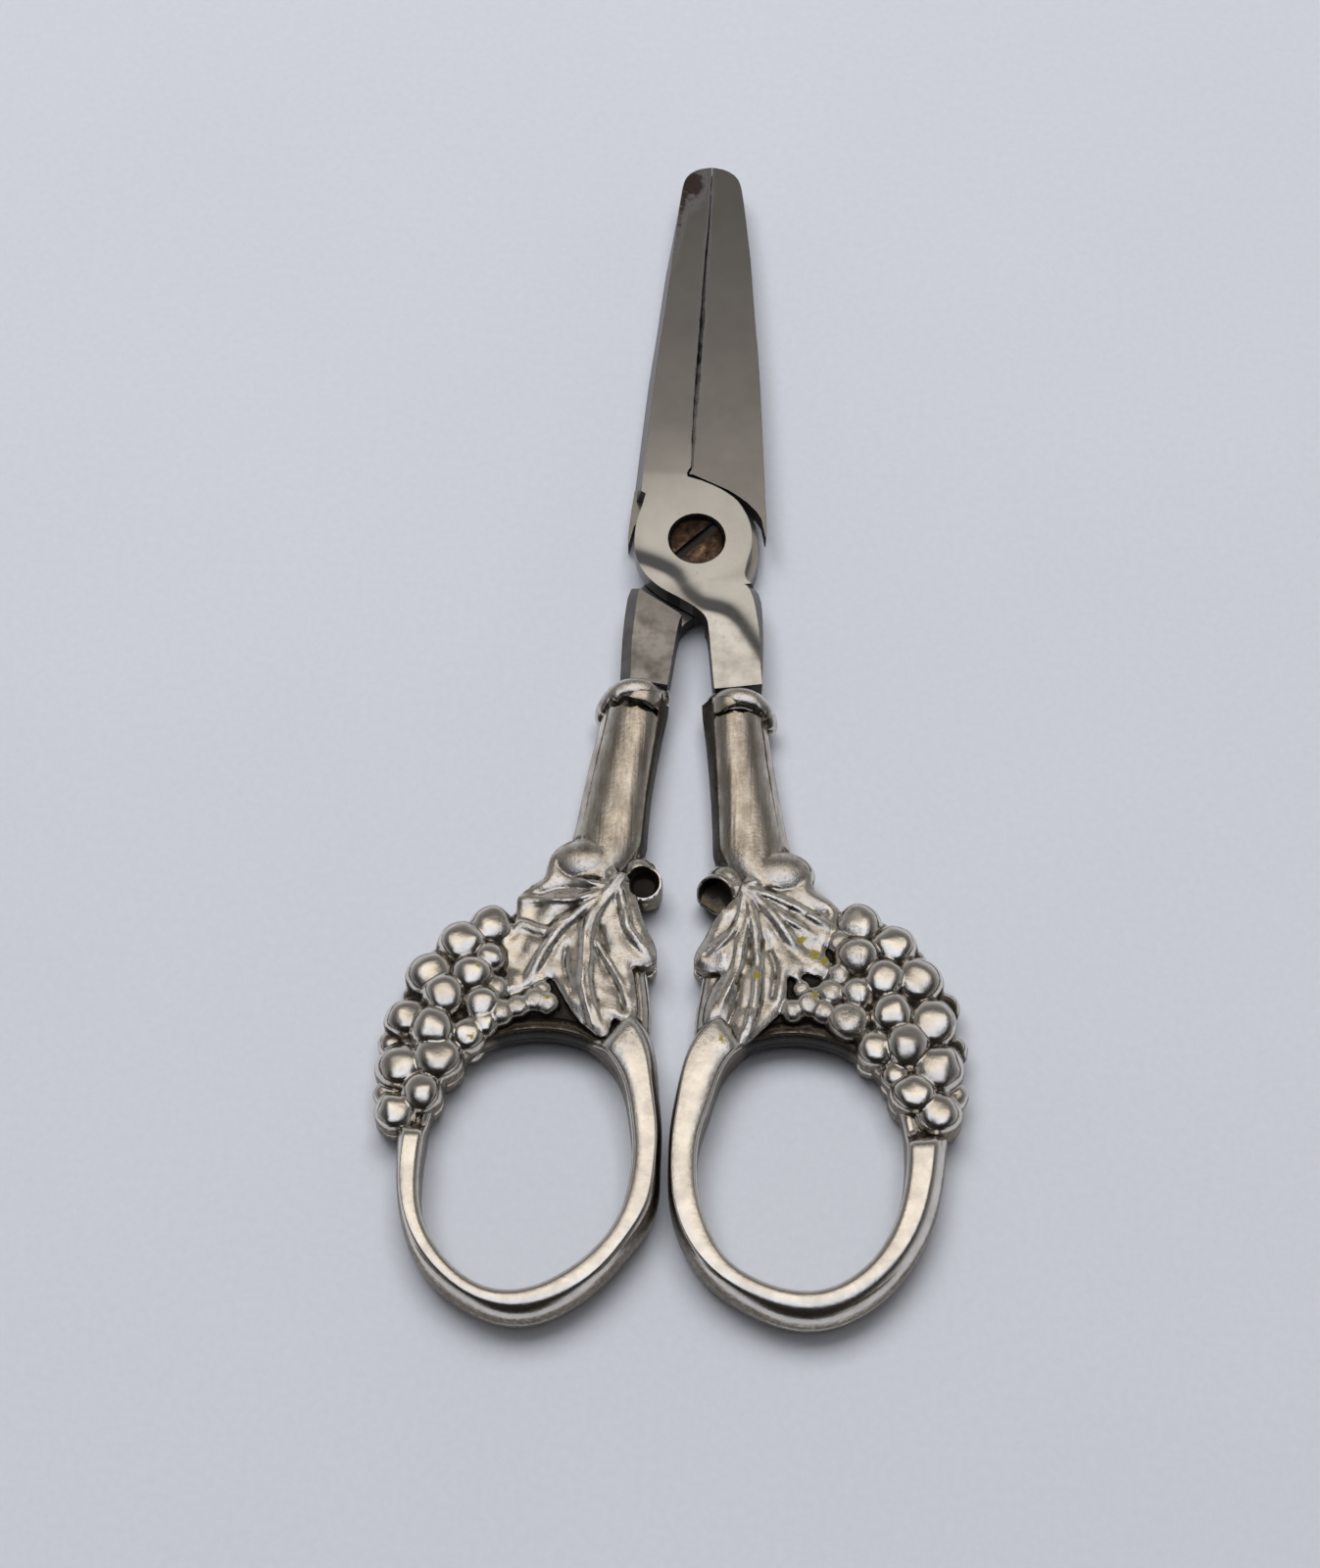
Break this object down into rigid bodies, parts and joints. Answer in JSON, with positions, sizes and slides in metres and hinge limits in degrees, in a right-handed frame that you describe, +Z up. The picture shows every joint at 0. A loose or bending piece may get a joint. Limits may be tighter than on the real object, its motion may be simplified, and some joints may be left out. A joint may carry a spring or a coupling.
{
  "type": "grape shears",
  "caption": "Pivoted scissor-type shears with stubby steel blades and cast handles ornamented with vine leaf and grapes around oval finger bows.",
  "frame": {"origin": "on the table under the middle of the closed tool's overall length and width", "axes": "+Y from the finger bows towards the blade tip, +X towards the right hand bow, +Z up through the thickness, away from the table"},
  "size_m": [0.065, 0.1548, 0.0062],
  "materials": {
    "blade_steel": "satin nickel-plated steel, worn and lightly stained",
    "screw_steel": "browned steel, worn bright on the rim",
    "silver_plate": "polished silver plate over cast metal, dark in the hollows",
    "cement": "dull setting cement, hidden inside the stems"
  },
  "bodies": {
    "back_half": {"back_blade": "blade_steel", "pivot_screw": "screw_steel", "left_collar": "silver_plate", "left_handle_front": "silver_plate", "left_handle_back": "silver_plate", "left_handle_filler": "cement"},
    "front_half": {"front_blade": "blade_steel", "right_collar": "silver_plate", "right_handle_front": "silver_plate", "right_handle_back": "silver_plate", "right_handle_filler": "cement"}
  },
  "joints": [
    {"name": "pivot", "type": "hinge", "parent": "back_half", "child": "front_half", "pos_m": [0, 0.0214, 0.0031], "axis": [0, 0, 1], "range_deg": [0, 30]}
  ]
}
